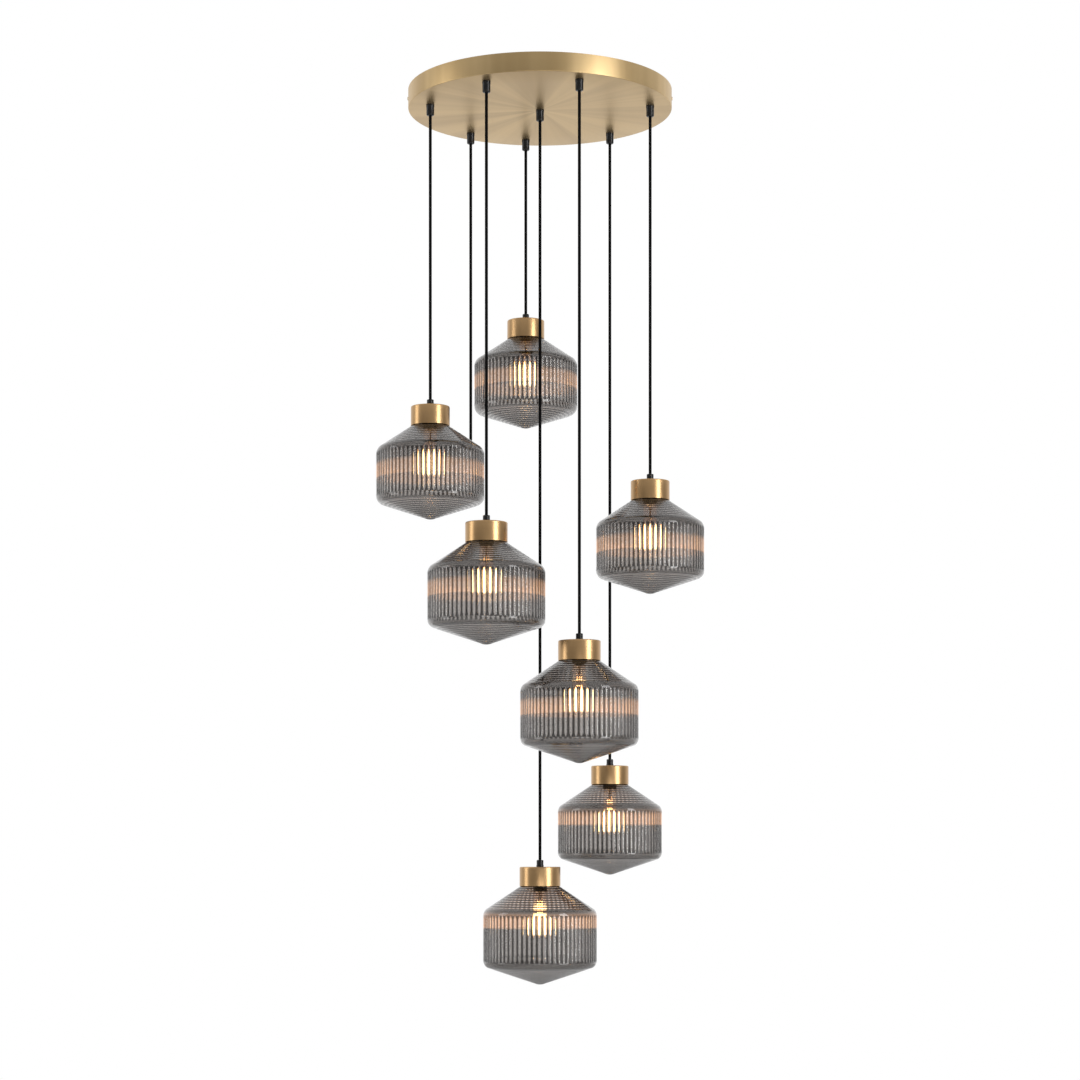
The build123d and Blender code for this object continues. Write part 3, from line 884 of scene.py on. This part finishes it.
PRESS_BOTTOM = HOLDER_BOTTOM - PRESS_LENGTH
FILAMENT_TOP = PRESS_BOTTOM - DISC
FILAMENT_BOTTOM = FILAMENT_TOP - FILAMENT_LENGTH
BASE_TOP = HOLDER_BOTTOM + 0.025


def threaded_base():
    """The screw base with its rounded thread, down to the collar."""
    threads = 6
    pitch = 0.0028
    start = HOLDER_BOTTOM + 0.004
    outline = [(0, BASE_TOP), (0.0035, BASE_TOP), (0.0055, BASE_TOP - 0.003)]
    for thread in reversed(range(threads)):
        height = start + thread * pitch
        outline += [(LAMP_BASE_RADIUS - 0.0006, height + pitch), (LAMP_BASE_RADIUS, height + pitch / 2)]
    outline += [
        (LAMP_BASE_RADIUS - 0.0006, start),
        (LAMP_BASE_RADIUS, HOLDER_BOTTOM + 0.0015),
        (COLLAR_RADIUS, HOLDER_BOTTOM + 0.0015),
        (COLLAR_RADIUS, HOLDER_BOTTOM),
        (0, HOLDER_BOTTOM),
    ]
    return turned(outline, closed=False, steps=48)


def glass_press():
    return turned(
        [
            (0, HOLDER_BOTTOM + 0.0002),
            (0.006, HOLDER_BOTTOM + 0.0002),
            (0.0032, HOLDER_BOTTOM - 0.006),
            (0.0025, PRESS_BOTTOM),
            (0, PRESS_BOTTOM),
        ],
        closed=False,
        steps=32,
    )


def filament_disc(top):
    return turned([(0, top), (0.0058, top), (0.0058, top - DISC), (0, top - DISC)], closed=False, steps=32)


def filaments():
    """The ring of filaments, each a glowing rod with rounded ends."""
    rod = turned(
        [
            (0, FILAMENT_TOP + 0.0004),
            (FILAMENT_RADIUS, FILAMENT_TOP + 0.0004),
            (FILAMENT_RADIUS, FILAMENT_BOTTOM - 0.0004),
            (0, FILAMENT_BOTTOM - 0.0004),
        ],
        closed=False,
        steps=12,
    )
    ring = []
    for number in range(FILAMENTS):
        angle = 2 * pi * number / FILAMENTS
        ring.append(
            placed(rod, (FILAMENT_CIRCLE_RADIUS * cos(angle), FILAMENT_CIRCLE_RADIUS * sin(angle), 0))
        )
    rod.free()
    return joined(ring)


def lamp_metal():
    finish = Finish("lamp_base_metal")
    place, *_ = finish.own_place()
    wear = finish.noise(place, 240, detail=3)
    return finish.surface(
        {
            "Base Color": finish.between(wear, (0.55, 0.42, 0.22, 1), (0.78, 0.64, 0.38, 1)),
            "Metallic": 1.0,
            "Roughness": 0.18 + wear * 0.2,
        }
    )


def press_glass():
    finish = Finish("press_glass")
    place, *_ = finish.own_place()
    milk = finish.noise(place, 300, detail=2)
    return finish.surface(
        {
            "Base Color": finish.between(milk, (0.9, 0.88, 0.84, 1), (1, 0.98, 0.94, 1)),
            "Roughness": 0.15 + milk * 0.2,
            "IOR": 1.5,
            "Transmission Weight": 0.8,
        }
    )


def glowing_filament():
    finish = Finish("glowing_filament")
    place, x, y, z = finish.own_place()
    coil = (z * (2 * pi / 0.0012)).sine() * 0.5 + 0.5
    return finish.surface(
        {
            "Base Color": (0.9, 0.7, 0.3, 1),
            "Roughness": 0.4 + coil * 0.2,
            "Emission Color": finish.between(coil, (1.0, 0.42, 0.16, 1), (1.0, 0.56, 0.24, 1)),
            "Emission Strength": FILAMENT_GLOW,
        }
    )


base_metal = lamp_metal()
discs = joined([filament_disc(PRESS_BOTTOM), filament_disc(FILAMENT_BOTTOM)])
hang("lamp_screw_base", threaded_base(), base_metal, "lamp_metal", "lamp_base")
hang("lamp_press", glass_press(), press_glass(), "clear_glass", "lamp_base")
hang("lamp_discs", discs, base_metal, "lamp_metal", "lamp_base")
hang("lamp_filaments", filaments(), glowing_filament(), "lamp_metal", "lamp_base")

# ---------------------------------------------------------------- canopy
# A round pan spun from 1.2 mm brass, open towards the ceiling, with a satin finish turned about its
# centre. Two dome-headed brass screws through the rim hold it on the ceiling bracket.

canopy_low, canopy_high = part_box("canopy")
CANOPY_RADIUS = (canopy_high.x - canopy_low.x) / 2
CANOPY_SHEET = 0.0012
CANOPY_EDGE_RADIUS = 0.0015


def canopy_brass():
    """Turned brass: fine rings, and soft wedges of painted reflection, lighter and darker, round the centre.
    """
    finish = Finish("canopy_brass")
    place, x, y, z = finish.object_place()
    radius = (x * x + y * y).maths("SQRT")
    rings = finish.noise(finish.point(radius, 0, z), 1500, detail=3)
    around = finish.point(x / radius, y / radius, 0)
    painted_reflection_wedges = finish.noise(around, 2.6, detail=3, roughness=0.55)
    fine_painted_reflection_wedges = finish.noise(around, 16, detail=2)
    patches = finish.noise(place, 5, detail=3)
    # Painted reflection in the wedges, with the turning rings and random patches in the metal's own colour.
    painted_light_tone = painted_reflection_wedges.rise(0.3, 0.7) * 0.6 + fine_painted_reflection_wedges * 0.15 + rings * 0.15 + patches * 0.1
    return finish.surface(
        {
            "Base Color": finish.between(painted_light_tone, (0.44, 0.30, 0.14, 1), (0.72, 0.53, 0.28, 1)),
            "Metallic": 1.0,
            "Roughness": 0.30 + rings * 0.08 + painted_reflection_wedges * 0.1,
            "Normal": finish.relief(rings, 0.00004),
        }
    )


canopy = turned(
    [
        (0, CANOPY_UNDERSIDE),
        (CANOPY_RADIUS * 0.35, CANOPY_UNDERSIDE),
        (CANOPY_RADIUS * 0.7, CANOPY_UNDERSIDE),
        (CANOPY_RADIUS, CANOPY_UNDERSIDE),
        (CANOPY_RADIUS, canopy_high.z),
        (CANOPY_RADIUS - CANOPY_SHEET, canopy_high.z),
        (CANOPY_RADIUS - CANOPY_SHEET, CANOPY_UNDERSIDE + CANOPY_SHEET),
        (0, CANOPY_UNDERSIDE + CANOPY_SHEET),
    ],
    roundings=[(3, CANOPY_EDGE_RADIUS)],
    closed=False,
    steps=288,
)
fit("brass_canopy", canopy, canopy_brass(), "canopy", "canopy_brass", "canopy", sharp_above=30)

screw_brass = turned_brass("screw_brass", (0.72, 0.55, 0.32, 1), (0.55, 0.40, 0.20, 1), 0.22)
dress("rim_screws", screw_brass)

# ---------------------------------------------------------------- ceiling bracket and lock nuts
# A zinc-plated steel bar is screwed to the ceiling inside the canopy, and a zinc-plated nut on each
# grip's stem clamps it in the canopy's floor.


def zinc_steel():
    finish = Finish("zinc_steel")
    place, x, y, z = finish.object_place()
    spangle = finish.noise(place, 60, detail=4)
    brushed = finish.noise(finish.point(x * 0.05, y, z), 900, detail=2)
    return finish.surface(
        {
            "Base Color": finish.between(spangle, (0.42, 0.43, 0.44, 1), (0.66, 0.67, 0.68, 1)),
            "Metallic": 1.0,
            "Roughness": 0.3 + spangle * 0.15 + brushed * 0.1,
            "Normal": finish.relief(brushed, 0.00005),
        }
    )


zinc = zinc_steel()
dress("ceiling_bracket", zinc)
dress("grip_lock_nuts", zinc)

# ---------------------------------------------------------------- wiring
# Each cord runs on from its grip inside the canopy, up and over to a strip of terminals moulded in
# pale plastic, which lies on the canopy's floor behind the bracket.


def terminal_plastic():
    finish = Finish("terminal_plastic")
    place, *_ = finish.object_place()
    cloud = finish.noise(place, 90, detail=3)
    return finish.surface(
        {
            "Base Color": finish.between(cloud, (0.74, 0.74, 0.70, 1), (0.86, 0.86, 0.83, 1)),
            "Roughness": 0.4 + cloud * 0.15,
            "Normal": finish.relief(cloud, 0.0001),
        }
    )


dress("terminal_block", terminal_plastic())

TAIL_LEVEL = -0.009
TAIL_START = CANOPY_CORD_TOP + 0.0003
TAIL_CORNER = 0.014
BLOCK_PITCH = 0.012
CORD_PLAY = 0.0003
block_low, block_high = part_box("terminal_block")
TERMINAL_LEVEL = (block_low.z + block_high.z) / 2
FRONT, BACK = -1, 1

# lamp, way on the block counted from its middle, and the block's face
TAILS = [
    ("cord_2", -4, FRONT),
    ("cord_4", -2, FRONT),
    ("cord_7", 0, FRONT),
    ("cord_5", 2, FRONT),
    ("cord_3", 4, FRONT),
    ("spare_cord", -3, BACK),
    ("cord_1", 0, BACK),
    ("cord_6", 3, BACK),
]


def tail(node, way, face):
    """One cord from its grip's stem up, over, and down to its own way on the block."""
    outlet = middle_of(node)
    face_y = block_low.y if face == FRONT else block_high.y
    start = Vector((outlet.x, outlet.y, TAIL_START))
    corner = Vector((outlet.x, outlet.y, TAIL_LEVEL))
    run = Vector((way * BLOCK_PITCH - outlet.x, face_y - outlet.y, TERMINAL_LEVEL - TAIL_LEVEL)).normalized()
    reach = CORD_PLAY + CORD_DIAMETER / 2 * sqrt(1 - run.y**2)
    end = Vector((way * BLOCK_PITCH, face_y + face * reach, TERMINAL_LEVEL))
    over = (end - corner).normalized()
    route = [start, corner - Vector((0, 0, TAIL_CORNER)), corner, corner + over * TAIL_CORNER, end]
    return tube(smooth_route(route), CORD_DIAMETER / 2, sides=16)


tails = joined([tail(*ends) for ends in TAILS])
fit("braided_tails", tails, fabric, "canopy", "cord_fabric", "cord_tails")

# ---------------------------------------------------------------- studio
# A white studio: a pale floor far below the lamps, a broad soft light from the front, a strip of light
# on each side, and a white world that is darker towards the front where glass and metal mirror it.

scene = bpy.context.scene
scene.view_settings.view_transform = "Standard"

FLOOR_LEVEL = -2.35
FLOOR_RADIUS = 4.0


def studio_floor():
    made = bmesh.new()
    bmesh.ops.create_circle(made, cap_ends=True, segments=96, radius=FLOOR_RADIUS)
    bmesh.ops.translate(made, vec=(0, 0, FLOOR_LEVEL), verts=made.verts)
    finish = Finish("studio_floor")
    place, *_ = finish.object_place()
    cloud = finish.noise(place, 0.7, detail=2)
    material = finish.surface(
        {
            "Base Color": finish.between(cloud, (0.80, 0.80, 0.80, 1), (0.84, 0.84, 0.84, 1)),
            "Roughness": 0.7,
        }
    )
    return finish_piece("studio_floor", made, material)


studio_floor()


def soft_light(name, place, aim, width, height, watts):
    light = bpy.data.lights.new(name, "AREA")
    light.shape = "RECTANGLE"
    light.size = width
    light.size_y = height
    light.energy = watts
    lamp = bpy.data.objects.new(name, light)
    lamp.location = place
    lamp.rotation_euler = (Vector(aim) - Vector(place)).to_track_quat("-Z", "Y").to_euler()
    lamp.visible_transmission = False
    scene.collection.objects.link(lamp)


MIDDLE = (0, 0, -0.9)
soft_light("right_strip", (2.4, -2.0, -0.9), MIDDLE, 0.9, 3.0, 60)
soft_light("left_strip", (-3.0, -0.3, -0.9), MIDDLE, 0.9, 3.0, 22)
soft_light("front_fill", (0.4, -3.6, -2.2), (0, 0, -0.3), 2.2, 0.9, 20)

FRONT_LEVEL = 0.28
FRONT_GLOW = 0.4
EVEN_LEVEL = 0.55

world = bpy.data.worlds.new("white_studio")
scene.world = world
sky = Finish("white_studio", world)
path = sky.add("LightPath").outputs
direction = sky.add("TexCoord").outputs["Generated"]
parts = sky.add("SeparateXYZ", {"Vector": direction}).outputs
back = Value(sky, parts["Y"]).rise(0.0, 0.85)
front = Value(sky, parts["Z"]).rise(0.12, 0.35) * FRONT_GLOW + FRONT_LEVEL
white = sky.add("Background", {"Color": (1, 1, 1, 1), "Strength": 1.0}).outputs[0]
seen = front + (1 - front) * back
reflected = sky.add("Background", {"Color": (1, 1, 1, 1), "Strength": seen}).outputs[0]
even = sky.add("Background", {"Color": (1, 1, 1, 1), "Strength": EVEN_LEVEL}).outputs[0]
mirrored = Value(sky, path["Is Glossy Ray"]).maths("MAXIMUM", Value(sky, path["Is Transmission Ray"]))
bounced = sky.add("MixShader", {0: mirrored.output, 1: even, 2: reflected}).outputs[0]
result = sky.add("MixShader", {0: path["Is Camera Ray"], 1: bounced, 2: white}).outputs[0]
sky.add("OutputWorld", {"Surface": result})
